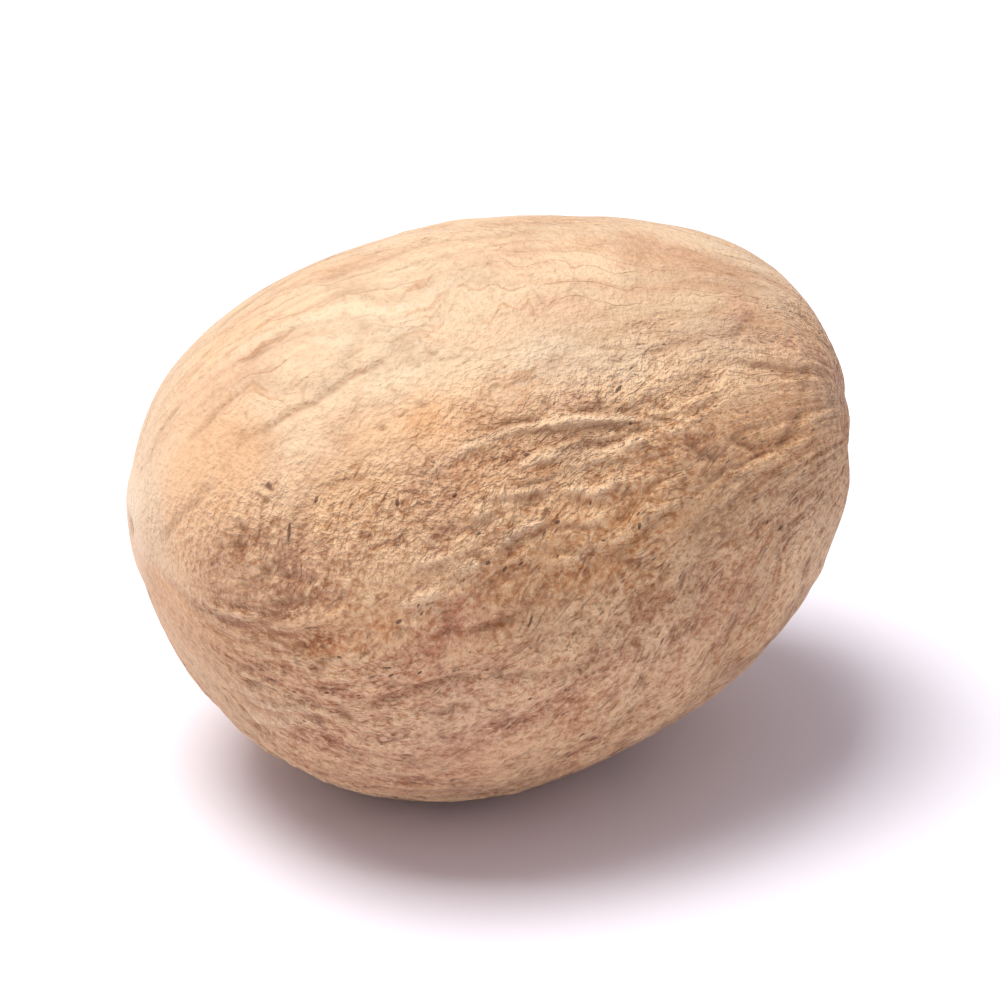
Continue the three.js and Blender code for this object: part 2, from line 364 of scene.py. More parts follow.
@dataclass
class CreaseParts:
    """What creases do to the skin: three heights in millimetres, and the strengths of three tints of
    painted light and shade.
    """

    groove: Array  # depth of the groove
    lip: Array  # height of the lip
    trench: Array  # depth of the trench below the lip
    crest_highlight: Array  # painted highlight on the upper, lit side of the lip
    foot_shade: Array  # painted shade along its lower side
    shade: Array  # dark tint along the middle of a groove

    def join(self, other: "CreaseParts") -> None:
        """Takes in another crease: the greater of the two holds at each place."""
        for name in vars(self):
            setattr(self, name, np.maximum(getattr(self, name), getattr(other, name)))


# Heights in millimetres from which a crease's tints, its painted highlight and painted shade, have their
# full strength.
CREST_FULL = 0.08
FOOT_FULL = 0.12
SHADE_FULL = 0.13
TRENCH_FULL = 0.13


@dataclass(frozen=True)
class Crease:
    """One crease between two places: a groove, or a raised lip with a trench below it.

    start and end are (along, turn in degrees). bow and sway bend the line between them, depth, lip and
    trench are heights, width is the groove's or lip's half width, and floor is how wide the trench's
    level floor is. fade is the share of the length over which each end dies out, pale the strength of the
    painted highlight on a lip's lit side, and whole the share of the crease that never breaks. Lengths
    are in millimetres.
    """

    start: Pair
    end: Pair
    bow: float = 0.0
    sway: float = 0.0
    depth: float = 0.0
    lip: float = 0.0
    trench: float = 0.0
    width: float = 0.18
    floor: float = 0.4
    fade: Pair = (0.22, 0.22)
    pale: float = 0.75
    whole: float = 0.15

    def profile(
        self, place: Place, grain: Grain, radius: float, wander: Array, breaks: Array
    ) -> CreaseParts:
        """The crease's parts over the skin.

        The line is the great circle through both ends. share goes from 0 to 1 along it, and side is the
        distance across it, less bow sin(pi share) and sway sin(2 pi share), less a little wander. The
        groove and the lip are bell curves of side. The trench starts just below the line, is level as far
        as floor, and rises to the skin again in as much and a fifth more. The painted highlight on the
        lip's upper, lit side and the painted shade along its lower side are bell curves beside the lip,
        one above its line and one below, and the shade is one along the groove, at most 0.25 wide.

        Args:
            place: places on the skin.
            grain: the seed's grain.
            radius: the seed's mean radius in millimetres.
            wander: how far the line strays, shape (n,).
            breaks: what share of the groove and the lip is there, shape (n,).

        Returns:
            The crease's parts.
        """
        ends = grain.directions(self.start, self.end)
        normal = np.cross(ends[0], ends[1])
        reach = math.atan2(float(np.linalg.norm(normal)), float(ends[0] @ ends[1]))
        normal /= np.linalg.norm(normal)
        across = place.direction @ normal
        share = np.arctan2(place.direction @ np.cross(normal, ends[0]), place.direction @ ends[0]) / reach
        within = np.clip(share, 0.0, 1.0)
        bend = self.bow * np.sin(math.pi * within) + self.sway * np.sin(2.0 * math.pi * within)
        side = np.arcsin(np.clip(across, -1.0, 1.0)) * radius - bend - wander
        fade = ramp(0.0, self.fade[0], within) * ramp(0.0, self.fade[1], 1.0 - within)
        kept = fade * (self.whole + (1.0 - self.whole) * breaks)
        line = kept * bump(side, self.width)
        crest_highlight = kept * bump(side - 0.35 * self.width, self.width) * min(1.0, self.lip / CREST_FULL)
        foot_shade = kept * bump(side + 1.3 * self.width, 0.8 * self.width) * min(1.0, self.trench / FOOT_FULL)
        shade = kept * bump(side, min(self.width, 0.25)) * min(1.0, self.depth / SHADE_FULL)
        below = fade * ramp(0.0, 0.25, -side) * (1.0 - ramp(self.floor, 1.2 * self.floor + 0.3, -side))
        heights = (self.depth * line, self.lip * line, self.trench * below)
        return CreaseParts(*heights, self.pale * crest_highlight, foot_shade, shade)


@dataclass(frozen=True)
class Spot:
    """A round patch of the skin, strongest in its middle."""

    along: float
    turn: float  # in degrees
    size: float  # an angle seen from the middle of the seed, in degrees
    most: float = 1.0  # strength in the middle

    def strength(self, place: Place, grain: Grain) -> Array:
        """A bell curve of the angle from the patch's middle, times its greatest strength.

        Args:
            place: places on the skin.
            grain: the seed's grain.

        Returns:
            Strengths, shape (n,).
        """
        middle = grain.directions((self.along, self.turn))[0]
        angle = np.arccos(np.clip(place.direction @ middle, -1.0, 1.0))
        return self.most * bump(angle, math.radians(self.size))


@dataclass(frozen=True)
class Hilum:
    """The pale scar at the fuller end: a low pad with a small pore. Lengths are in millimetres."""

    radius: float = 2.3
    pad: float = 0.14
    pad_top: float = 0.55  # share of the radius where the pad starts to fall
    pore_radius: float = 0.3
    pore_depth: float = 0.14

    def distance(self, place: Place, radius: float) -> Array:
        """Distance from the hilum over the skin."""
        return np.arccos(np.clip(-place.along, -1.0, 1.0)) * radius

    def mask(self, place: Place, radius: float) -> Array:
        """1 on the pad, 0 away from it."""
        return 1.0 - ramp(self.pad_top * self.radius, self.radius, self.distance(place, radius))

    def pore(self, place: Place, radius: float) -> Array:
        """1 in the pore, 0 away from it."""
        return bump(self.distance(place, radius), self.pore_radius)


@dataclass(frozen=True)
class Chalaza:
    """The dimple at the other end, with a pit, and wrinkles that run into it. Lengths in millimetres."""

    radius: float = 1.9
    depth: float = 0.6
    pit_radius: float = 0.55
    pit_depth: float = 0.4
    rays: int = 9
    ray_depth: float = 0.1
    uneven: float = 0.3  # share by which noise changes the distance from its middle

    def distance(self, place: Place, radius: float) -> Array:
        """Distance from the chalaza over the skin, made uneven by low noise."""
        away = np.arccos(np.clip(place.along, -1.0, 1.0)) * radius
        return away * (1.0 + self.uneven * place.lumps(Noise.CHALAZA, 6.0))

    def dimple(self, place: Place, radius: float) -> Array:
        """1 in the middle of the dimple, 0 away from it."""
        return bump(self.distance(place, radius), self.radius)

    def pit(self, place: Place, radius: float) -> Array:
        """1 in the pit, 0 away from it."""
        return bump(self.distance(place, radius), self.pit_radius)

    def wrinkles(self, place: Place, radius: float) -> Array:
        """Rays round the dimple: half a cosine of the turn, strongest one to two radii out.

        Args:
            place: places on the skin.
            radius: the seed's mean radius in millimetres.

        Returns:
            Strengths, shape (n,).
        """
        out = self.distance(place, radius) / self.radius
        reach = ramp(0.3, 1.2, out) * (1.0 - ramp(1.8, 3.2, out))
        return reach * (0.5 + 0.5 * np.cos(self.rays * place.turn + 1.3 * np.sin(2.0 * place.turn)))


@dataclass(frozen=True)
class FineSkin:
    """What is finer than the furrows but still in the mesh: pleats, wrinkles along the grain, and grit.

    pleat, wrinkle and grit are heights in millimetres. The crown's edges are turns in degrees.
    """

    pleat: float = 0.09
    wrinkle: float = 0.085
    grit: float = 0.035
    crown_front: float = 40.5  # the crown's front edge, half way along
    crown_lean: float = 23.5  # how much further back it lies for each unit along
    crown_bow: float = 9.0  # how far both of its ends bend back
    crown_back: float = -50.0  # its back edge
    crown_blend: float = 15.0  # how far to each side of an edge it dies out
    crown_stray: float = 7.0  # how far each octave of noise moves the edges
    least_cover: float = 0.26  # how rough the smoothest skin is

    def crowned(self, place: Place) -> Array:
        """1 on the crown, 0 off it.

        The crown lies between two edges. The front one is at crown_front - crown_lean along -
        crown_bow along^2, and two octaves of noise move both. The crown dies out before the chalaza.

        Args:
            place: places on the skin.

        Returns:
            Strengths, shape (n,).
        """
        stray = self.crown_stray * place.lumps(Noise.CROWN_EDGE, 2.6)
        stray += self.crown_stray * place.lumps(Noise.SMALL_CROWN_EDGE, 8.0)
        turn = place.degrees() + stray
        front = self.crown_front - self.crown_lean * place.along - self.crown_bow * place.along**2
        inside = np.minimum(front - turn, turn - self.crown_back)
        return ramp(-self.crown_blend, self.crown_blend, inside) * ramp(0.96, 0.72, place.along)

    def cover(self, place: Place, grown: Place) -> Array:
        """How rough the skin is: smooth along the crown and at the hilum, rough everywhere else.

        Three octaves of stretched noise break the crown's edge and the rest up into patches.

        Args:
            place: places on the skin.
            grown: the same places as they grew.

        Returns:
            Shares from least_cover to 1, shape (n,).
        """
        smooth = np.maximum(self.crowned(place), 0.8 * ramp(-0.88, -0.98, place.along))
        patch = 0.5 * grown.streaks(Noise.COVER, 2.4, 1.6)
        patch += 0.4 * grown.streaks(Noise.SMALL_COVER, 6.0, 3.2)
        patch += 0.25 * grown.streaks(Noise.FINE_COVER, 14.0, 7.0)
        spread = ramp(0.05, 1.0, 0.85 * (1.0 - smooth) + patch)
        return self.least_cover + (1.0 - self.least_cover) * spread

    def wavy(self, grown: Place) -> Place:
        """The same places with the turn moved by noise, so that what follows the grain waves a little."""
        waves = 0.03 * grown.streaks(Noise.WAVES, 9.0, 9.0)
        return Place(grown.direction, grown.along, grown.turn + waves, grown.girth)

    def pleats(self, grown: Place) -> Array:
        """Long narrow ridges with sharp crests, -1 to 1: stretched noise folded at zero, in patches.

        Args:
            grown: places as they grew.

        Returns:
            Heights as shares, shape (n,).
        """
        fold = 0.75 - 3.4 * np.abs(self.wavy(grown).streaks(Noise.PLEATS, 7.0, 2.4))
        patch = ramp(-0.3, 0.25, grown.streaks(Noise.PLEAT_PATCHES, 3.1, 2.3))
        return np.clip(fold, -1.0, 1.0) * (0.3 + 0.7 * patch)

    def wrinkles(self, grown: Place) -> Array:
        """Short wavy ridges along the grain, -1 to 1: two octaves of stretched noise folded at zero.

        Args:
            grown: places as they grew.

        Returns:
            Heights as shares, shape (n,).
        """
        first = 0.7 - 3.2 * np.abs(self.wavy(grown).streaks(Noise.WRINKLES, 16.0, 7.5))
        second = 0.7 - 3.2 * np.abs(self.wavy(grown).streaks(Noise.SMALL_WRINKLES, 29.0, 15.0))
        return np.clip(first, -1.0, 1.0) * 0.6 + np.clip(second, -1.0, 1.0) * 0.4

    def rough(self, points: Array) -> Array:
        """Grit in any direction, about -1 to 1 and half a millimetre across."""
        small = Lattice(Noise.SMALL_GRIT).noise(points / 0.45)
        return Lattice(Noise.GRIT).noise(points / 0.8) + 0.7 * small


# ---------------------------------------------------------------- the seed


# The smooth crown: thin lines that run along it.
CROWN_CREASES = (
    Crease((-0.97, 18.5), (-0.86, 9.6), bow=0.20, sway=0.04, depth=0.06, width=0.12, whole=0.6),
    Crease((-0.89, 27.7), (-0.71, 20.9), bow=-0.17, depth=0.075, width=0.12, whole=0.6),
    Crease((-0.79, 37.1), (-0.61, 32.9), bow=-0.13, depth=0.05, width=0.24, whole=0.6),
    Crease((-0.79, 37.5), (-0.31, 24.2), bow=-0.50, sway=-0.05, depth=0.1, width=0.13, whole=0.7),
    Crease((-0.38, 0.2), (-0.71, 5.5), bow=0.22, sway=0.04, depth=0.068, width=0.15),
    Crease((-0.38, 0.2), (0.05, -2.6), sway=0.04, depth=0.06, width=0.12),
    Crease((-0.44, 4.4), (-0.26, 6.1), bow=0.08, depth=0.038, width=0.11),
    Crease((-0.40, 15.7), (-0.29, 17.5), depth=0.038, width=0.1),
    Crease((-0.19, 22.9), (0.00, 21.5), bow=0.16, depth=0.038, width=0.11),
    Crease((0.04, 20.0), (0.22, 17.0), bow=-0.15, sway=0.05, depth=0.045, width=0.11),
    Crease((0.03, 34.0), (0.15, 31.0), bow=0.10, sway=-0.04, depth=0.06, width=0.11),
    Crease((-0.97, 78.7), (-0.82, 47.0), depth=0.08, width=0.17, whole=0.6),
    Crease((-0.61, 54.6), (-0.35, 51.4), bow=0.08, sway=0.05, depth=0.053, width=0.13),
)

# The lens on the front: its rim with a painted highlight, the groove over the rim, the sunk floor and the
# lower lip.
LENS = (
    Crease(
        (-0.38, 57.2), (0.26, 47.4), bow=1.01, sway=0.10, lip=0.08,
        trench=0.06, floor=1.1, fade=(0.3, 0.05), whole=0.5,
    ),
    Crease(
        (0.00, 46.5), (0.26, 47.4), bow=0.12, sway=0.05, lip=0.11, trench=0.05,
        width=0.12, floor=0.9, fade=(0.45, 0.05), pale=1.0, whole=1.0,
    ),
    Crease((0.18, 48.5), (0.29, 49.1), depth=0.04, width=0.12, fade=(0.7, 0.05)),
    Crease((-0.14, 45.8), (0.02, 44.4), bow=0.04, sway=0.05, depth=0.12, width=0.13),
    Crease((0.07, 43.7), (0.29, 45.7), bow=0.04, depth=0.1, width=0.14),
    Crease((0.02, 51.0), (0.21, 50.8), bow=-0.28, depth=0.07, width=0.14),
    Crease((-0.12, 54.7), (0.29, 51.4), bow=0.08, sway=0.19, lip=0.11, width=0.17, fade=(0.2, 0.08)),
)

# Short ridges under the lens, from the top down, each with a painted highlight on its lip and a shaded
# step below it, with painted shade along its foot.
STEPS = (
    Crease((-0.17, 58.6), (0.02, 58.3), lip=0.1, trench=0.07, width=0.16),
    Crease((0.02, 58.4), (0.22, 58.4), bow=-0.38, lip=0.1, trench=0.07, width=0.17),
    Crease((-0.22, 61.9), (-0.08, 60.1), bow=0.06, sway=-0.04, lip=0.1, trench=0.08, width=0.15),
    Crease(
        (-0.16, 68.3), (-0.01, 64.3), bow=0.16, lip=0.16,
        trench=0.07, width=0.14, floor=0.3, pale=1.0, whole=1.0,
    ),
    Crease((-0.42, 79.5), (-0.30, 75.4), lip=0.1, trench=0.06, width=0.17),
    Crease((-0.29, 73.5), (-0.19, 71.2), bow=0.09, lip=0.1, trench=0.06, width=0.16),
    Crease((-0.38, 71.3), (-0.30, 68.9), lip=0.08, trench=0.06, width=0.15),
    Crease((-0.35, 74.0), (-0.27, 71.4), bow=-0.04, depth=0.07, width=0.12),
    Crease((0.00, 68.1), (0.14, 67.4), bow=0.27, sway=0.06, depth=0.09, width=0.15),
    Crease((-0.02, 71.7), (0.13, 70.3), bow=-0.07, sway=0.17, depth=0.08, width=0.15),
    Crease((0.15, 64.1), (0.24, 60.7), bow=-0.06, depth=0.08, width=0.14),
    Crease((-0.74, 82.5), (-0.60, 79.4), bow=0.06, sway=-0.06, depth=0.1, width=0.15),
    Crease((-0.77, 78.1), (-0.67, 66.7), bow=-0.05, depth=0.06, width=0.17),
    Crease((-0.36, 83.6), (-0.06, 83.9), bow=0.09, sway=-0.16, depth=0.1, width=0.16),
    Crease((-0.07, 56.7), (-0.02, 56.7), depth=0.1, width=0.12),
    Crease((-0.10, 58.0), (-0.02, 56.7), depth=0.1, width=0.12, whole=0.6),
)

# The belly: one long fold, and short ones beside it.
BELLY_CREASES = (
    Crease((-0.65, 98.5), (-0.56, 90.9), bow=0.16, sway=-0.04, depth=0.12, width=0.15),
    Crease((-0.51, 104.3), (-0.19, 92.8), bow=0.35, depth=0.15, width=0.15, fade=(0.12, 0.2)),
    Crease((-0.59, 104.3), (-0.52, 107.0), bow=-0.14, sway=0.05, depth=0.12, width=0.15),
    Crease((-0.22, 93.0), (0.33, 90.8), bow=-0.58, sway=0.04, depth=0.08, width=0.18),
    Crease((-0.80, 117.1), (-0.75, 108.8), bow=0.04, depth=0.15, width=0.15),
    Crease((-0.71, 111.6), (-0.63, 105.0), bow=-0.11, sway=-0.06, depth=0.12, width=0.15),
    Crease((-0.83, 128.8), (-0.61, 109.7), sway=-0.06, lip=0.09, trench=0.08, width=0.17),
    Crease((-0.81, 141.8), (-0.60, 112.3), sway=-0.06, lip=0.08, trench=0.08, width=0.18),
    Crease((-0.81, 127.8), (-0.70, 123.3), bow=-0.27, lip=0.08, width=0.15),
    Crease((-0.36, 103.6), (-0.22, 99.8), bow=0.09, depth=0.1, width=0.15),
    Crease((-0.54, 122.9), (-0.44, 118.3), bow=0.33, depth=0.08, width=0.16),
    Crease((-0.56, 127.6), (-0.38, 120.5), bow=0.38, depth=0.06, width=0.16),
    Crease((-0.38, 126.3), (-0.31, 124.0), depth=0.08, width=0.16),
    Crease((-0.14, 118.5), (-0.00, 116.5), bow=-0.15, sway=-0.27, depth=0.09, width=0.16),
    Crease((-0.15, 106.5), (-0.02, 107.2), bow=0.10, depth=0.09, width=0.16),
    Crease((-0.86, 133.2), (-0.75, 113.5), bow=-0.12, lip=0.07, trench=0.06, width=0.15),
    Crease((-0.75, 163.9), (-0.70, 122.3), sway=-0.33, depth=0.08, width=0.13),
    Crease((-0.85, 117.5), (-0.74, 99.3), bow=-0.15, depth=0.08, width=0.13),
)

# The shoulder to the right of the lens, and the streaks that run on to the chalaza.
SHOULDER_CREASES = (
    Crease((0.36, 43.8), (0.52, 38.6), bow=0.04, depth=0.13, width=0.17),
    Crease((0.31, 42.7), (0.33, 46.4), depth=0.07, width=0.2),
    Crease((0.29, 33.8), (0.50, 30.0), bow=0.04, depth=0.09, width=0.14),
    Crease((0.51, 29.9), (0.68, 19.1), bow=-0.24, sway=-0.07, depth=0.1, width=0.14),
    Crease((0.41, 53.1), (0.52, 58.5), bow=-0.25, depth=0.14, width=0.16),
    Crease((0.52, 53.6), (0.63, 58.0), bow=-0.13, sway=0.07, depth=0.13, width=0.16),
    Crease((0.77, 47.6), (0.67, 60.4), sway=0.06, depth=0.11, width=0.17),
    Crease((0.83, 17.4), (0.77, 47.6), bow=-0.11, depth=0.05, width=0.22),
    Crease((0.86, 29.2), (0.80, 51.2), depth=0.05, width=0.18),
)

# The raphe: a shallow furrow down the back from hilum to chalaza, in two arcs.
RAPHE = (
    Crease((-0.97, -84.0), (0.12, -74.0), bow=0.5, depth=0.3, width=0.85),
    Crease((-0.12, -74.0), (0.95, -80.0), bow=-0.4, depth=0.3, width=0.85),
)

# Single dark pits: how far along and at what turn.
PITS = (
    (-0.63, 74.0), (-0.70, 74.2), (-0.74, 73.2), (-0.79, 62.0), (-0.80, 67.6), (-0.84, 68.2),
    (-0.73, 55.4), (-0.71, 52.6), (-0.31, 38.7), (-0.42, 42.4), (-0.10, 44.8), (-0.02, 44.9),
    (0.27, 49.7), (-0.32, 55.3), (-0.47, 54.4), (-0.67, 90.9), (-0.79, 115.4), (-0.62, 101.2),
    (0.02, 41.9), (-0.26, 26.9),
)


class Tone(Enum):
    """The skin's tones, in the order in which they are laid on: stain colours, some spots of which are
    painted light.
    """

    GOLD = "gold"
    GREY = "grey"
    PINK = "pink"
    CREAM = "cream"
    UMBER = "umber"


# The spots of each tone: along, turn, size, and the strength where it is less than full. Most are the
# skin's own stain colour; the cream spots near both ends and the gold ones near the chalaza are partly
# painted light that brightens those ends.
STAINS_AND_PAINTED_LIGHT = {
    Tone.GOLD: (
        Spot(-0.9, 50.0, 14.0), Spot(-0.88, 62.0, 8.0), Spot(-0.86, 95.0, 6.0, 0.7),
        Spot(-0.87, 118.0, 13.0), Spot(-0.8, 40.0, 9.0, 0.9), Spot(-0.47, 42.0, 6.0, 0.5),
        Spot(-0.58, 89.0, 6.0), Spot(-0.45, 82.0, 4.0), Spot(-0.3, 42.0, 6.0),
        Spot(-0.07, 73.0, 9.0, 0.7), Spot(0.2, 66.0, 12.0, 0.7), Spot(0.6, 46.0, 10.0),
        Spot(0.72, 50.0, 12.0),
    ),
    Tone.GREY: (
        Spot(-0.44, 65.0, 9.0), Spot(-0.3, 57.0, 6.5), Spot(-0.12, 51.0, 4.0),
        Spot(0.14, 49.0, 4.5), Spot(0.02, 85.0, 8.0),
    ),
    Tone.PINK: (
        Spot(-0.42, 112.0, 24.0), Spot(-0.1, 103.0, 12.0), Spot(-0.32, 82.0, 6.0),
        Spot(0.1, 41.5, 4.0, 0.5), Spot(0.62, 20.0, 4.0),
    ),
    Tone.CREAM: (
        Spot(-0.4, 22.0, 15.0), Spot(0.03, 33.0, 9.0), Spot(0.6, 36.0, 12.0),
        Spot(0.28, 36.0, 7.0, 0.6), Spot(-0.26, 8.0, 11.0), Spot(-0.99, 56.0, 8.0),
        Spot(-0.89, 130.0, 12.0, 0.6), Spot(0.1, 53.8, 4.0),
    ),
    Tone.UMBER: (
        Spot(-0.81, 71.0, 6.0), Spot(-0.72, 72.0, 6.0), Spot(-0.63, 71.0, 5.0),
        Spot(-0.82, 82.0, 6.0), Spot(-0.87, 79.0, 5.0, 0.7), Spot(0.12, 48.5, 3.5, 0.6),
        Spot(-0.17, 52.8, 4.0, 0.7), Spot(-0.35, 62.0, 6.0, 0.6), Spot(-0.58, 65.0, 5.0, 0.5),
        Spot(-0.32, 66.0, 5.0, 0.5), Spot(-0.79, 37.0, 8.0, 0.3), Spot(-0.44, 74.0, 5.0, 0.4),
        Spot(-0.73, 80.0, 6.0), Spot(-0.1, 50.0, 4.0, 0.7), Spot(0.9, 40.0, 7.0, 0.8),
        Spot(0.42, 56.0, 6.0),
    ),
}


def pit(along: float, turn: float) -> Crease:
    """A small dark pit: a very short groove."""
    ends = (along - 0.01, turn), (along + 0.01, turn)
    return Crease(*ends, depth=0.11, width=0.13, fade=(0.1, 0.1), whole=1.0)


def scattered_creases(count: int, seed: int) -> list[Crease]:
    """Creases for the sides that the front's own don't reach.

    Each takes its place, length, bend and depth from two lattice numbers: along from -0.85 to 0.55, turn
    from 135 to 345 degrees, and a length of 0.12 to 0.42 along, within 8 degrees of the grain.

    Args:
        count: how many.
        seed: the number that starts their draws.

    Returns:
        The creases.
    """
    numbers = Lattice(seed).numbers(np.repeat(np.arange(2 * count)[:, None], 3, axis=1))
    places, shapes = Lattice.shares(numbers[:count]), Lattice.shares(numbers[count:])
    made = []
    for a, b, c, d, e, f in zip(*(share.tolist() for share in places + shapes)):
        start = (-0.85 + 1.4 * a, 135.0 + 210.0 * b)
        end = (start[0] + (0.12 + 0.3 * c), start[1] + 16.0 * (d - 0.5))
        height = 0.06 + 0.1 * f
        lip = height if d > 0.72 else 0.0
        size = {"bow": 0.9 * (e - 0.5), "depth": height - lip, "lip": lip, "width": 0.16 + 0.14 * e}
        made.append(Crease(start, end, **size, pale=0.3))
    return made


CREASES = (
    *CROWN_CREASES,
    *LENS,
    *STEPS,
    *BELLY_CREASES,
    *SHOULDER_CREASES,
    *RAPHE,
    *scattered_creases(count=44, seed=61),
    *(pit(along, turn) for along, turn in PITS),
)


@dataclass
class Skin:
    """The skin's points in millimetres, its masks, and its grain's flow, one row to a vertex."""

    points: Array
    masks: dict[str, Array]
    flow: Array


@dataclass
class Nutmeg:
    """The whole seed, as one closed skin."""

    form: SeedForm = field(default_factory=SeedForm)
    grain: Grain = field(default_factory=Grain)
    undulation: Undulation = field(default_factory=Undulation)
    hilum: Hilum = field(default_factory=Hilum)
    chalaza: Chalaza = field(default_factory=Chalaza)
    fine: FineSkin = field(default_factory=FineSkin)
    furrows: Furrows = field(default_factory=lambda: Furrows(0.06, 2.6, 1.7, 0.14, Noise.FURROWS))
    small_furrows: Furrows = field(
        default_factory=lambda: Furrows(0.05, 6.2, 3.6, 0.16, Noise.SMALL_FURROWS)
    )
    # Broad hollows left by drying. The last number is the depth in millimetres.
    hollows: tuple[Spot, ...] = (
        Spot(-0.86, 118.0, 19.0, 0.36),
        Spot(-0.45, -118.0, 21.0, 0.5),
        Spot(0.35, -28.0, 17.0, 0.2),
    )
    # Patches where the fine skin is weaker.
    smooth: tuple[Spot, ...] = (
        Spot(0.66, 36.0, 20.0, 0.5),
        Spot(-0.93, 54.0, 13.0, 0.5),
        Spot(-0.88, 132.0, 14.0, 0.5),
    )
    creases: tuple[Crease, ...] = CREASES
    stains_and_painted_light: dict[Tone, tuple[Spot, ...]] = field(default_factory=lambda: STAINS_AND_PAINTED_LIGHT)
    columns: int = 620
    rings: int = 153
    ring_crowding: float = 0.2  # share by which the rings lie closer at the ends
    crowding: float = 0.3  # share by which the columns lie closer at the front
    front: float = 50.0  # turn of the front's middle in degrees

    def grid(self) -> Place:
        """The skin's vertices in grain coordinates: the hilum, ring after ring, and the chalaza.

        Rings are at polar angle pi s less a share of sin(2 pi s) / 2, and columns at turn t less a share
        of the sine of t from the front's middle.

        Returns:
            The places.
        """
        steps = np.arange(1, self.rings + 1) / (self.rings + 1)
        polar = math.pi * (steps - self.ring_crowding * np.sin(2.0 * math.pi * steps) / (2.0 * math.pi))
        turns = np.arange(self.columns) * (2.0 * math.pi / self.columns)
        turns -= self.crowding * np.sin(turns - math.radians(self.front))
        along = np.concatenate([[-1.0], np.repeat(-np.cos(polar), self.columns), [1.0]])
        turn = np.concatenate([[0.0], np.tile(turns, self.rings), [0.0]])
        return self.grain.place(along, turn)

    def faces(self) -> list[tuple[int, ...]]:
        """Quads between neighbouring rings, closed round the turn, and a fan of triangles at each end.

        Returns:
            The vertex numbers of each face.
        """
        column = np.arange(self.columns)
        following = (column + 1) % self.columns
        ring = 1 + np.arange(self.rings - 1)[:, None] * self.columns
        above = ring + self.columns
        quads = np.stack([ring + column, above + column, above + following, ring + following], axis=-1)
        last = 1 + self.rings * self.columns
        end = last - self.columns
        hilum_fan = np.stack([np.zeros_like(column), 1 + column, 1 + following], axis=-1)
        chalaza_fan = np.stack([np.full_like(column, last), end + following, end + column], axis=-1)
        return quads.reshape(-1, 4).tolist() + hilum_fan.tolist() + chalaza_fan.tolist()

    def creased(self, place: Place) -> CreaseParts:
        """All the creases together. Two octaves of noise make their lines stray, and two break them up.

        Args:
            place: places on the skin.

        Returns:
            The parts that hold at each place.
        """
        wander = 0.16 * place.lumps(Noise.WANDER, 9.0) + 0.07 * place.lumps(Noise.SMALL_WANDER, 23.0)
        breaks = 0.4 + 0.35 * ramp(-0.3, 0.1, place.lumps(Noise.BREAKS, 11.0))
        breaks += 0.25 * ramp(-0.2, 0.2, place.lumps(Noise.SMALL_BREAKS, 25.0))
        parts = CreaseParts(*(np.zeros(len(place.along)) for _ in fields(CreaseParts)))
        for crease in self.creases:
            parts.join(crease.profile(place, self.grain, self.form.mean_radius, wander, breaks))
        return parts

    def tones(self, place: Place, grown: Place) -> dict[str, Array]:
        """How far each tone lies on the skin: its spots, some of them painted light, and clouds of
        stretched noise.

        Args:
            place: places on the skin.
            grown: the same places as they grew.

        Returns:
            A mask for each tone, shape (n,).
        """
        masks = {}
        for number, tone in enumerate(Tone):
            cloud = ramp(0.05, 0.6, grown.streaks(Noise.CLOUDS + number, 2.6, 1.6))
            spots = sum(spot.strength(place, self.grain) for spot in self.stains_and_painted_light[tone])
            masks[tone.value] = np.clip(spots + 0.6 * cloud, 0.0, 1.0)
        return masks

    def skin(self) -> Skin:
        """Every vertex of the skin, with its masks.

        The relief is the sum of the undulation, the furrows, the creases, the hollows, the hilum's pad
        and pore, the chalaza's dimple, pit and wrinkles, and the fine skin, which fades on the pad.

        Returns:
            The skin, in millimetres.
        """
        place, fine, hilum, chalaza = self.grid(), self.fine, self.hilum, self.chalaza
        grown = self.grain.grown(place)
        radius = self.form.mean_radius
        parts = self.creased(place)
        furrow, small = self.furrows.strength(grown), self.small_furrows.strength(grown)
        scar, pore = hilum.mask(place, radius), hilum.pore(place, radius)
        dimple, rays = chalaza.dimple(place, radius), chalaza.wrinkles(place, radius)
        deep = chalaza.pit(place, radius)
        broad = self.undulation.height(place, grown) - self.furrows.depth * furrow
        broad -= sum(hollow.strength(place, self.grain) for hollow in self.hollows)
        broad += hilum.pad * scar - chalaza.depth * dimple - chalaza.ray_depth * rays

        cover = fine.cover(place, grown) * (1.0 - 0.8 * scar)
        cover *= 1.0 - np.max([spot.strength(place, self.grain) for spot in self.smooth], axis=0)
        spread = ramp(0.25, 0.6, place.girth)
        wrinkle, pleat = fine.wrinkles(grown) * spread, fine.pleats(grown) * spread
        rough = fine.rough(self.form.skin(place.direction, broad))
        detail = parts.lip - parts.groove - parts.trench
        detail += cover * (fine.pleat * pleat + fine.wrinkle * wrinkle + fine.grit * rough)
        detail -= self.small_furrows.depth * small + hilum.pore_depth * pore + chalaza.pit_depth * deep

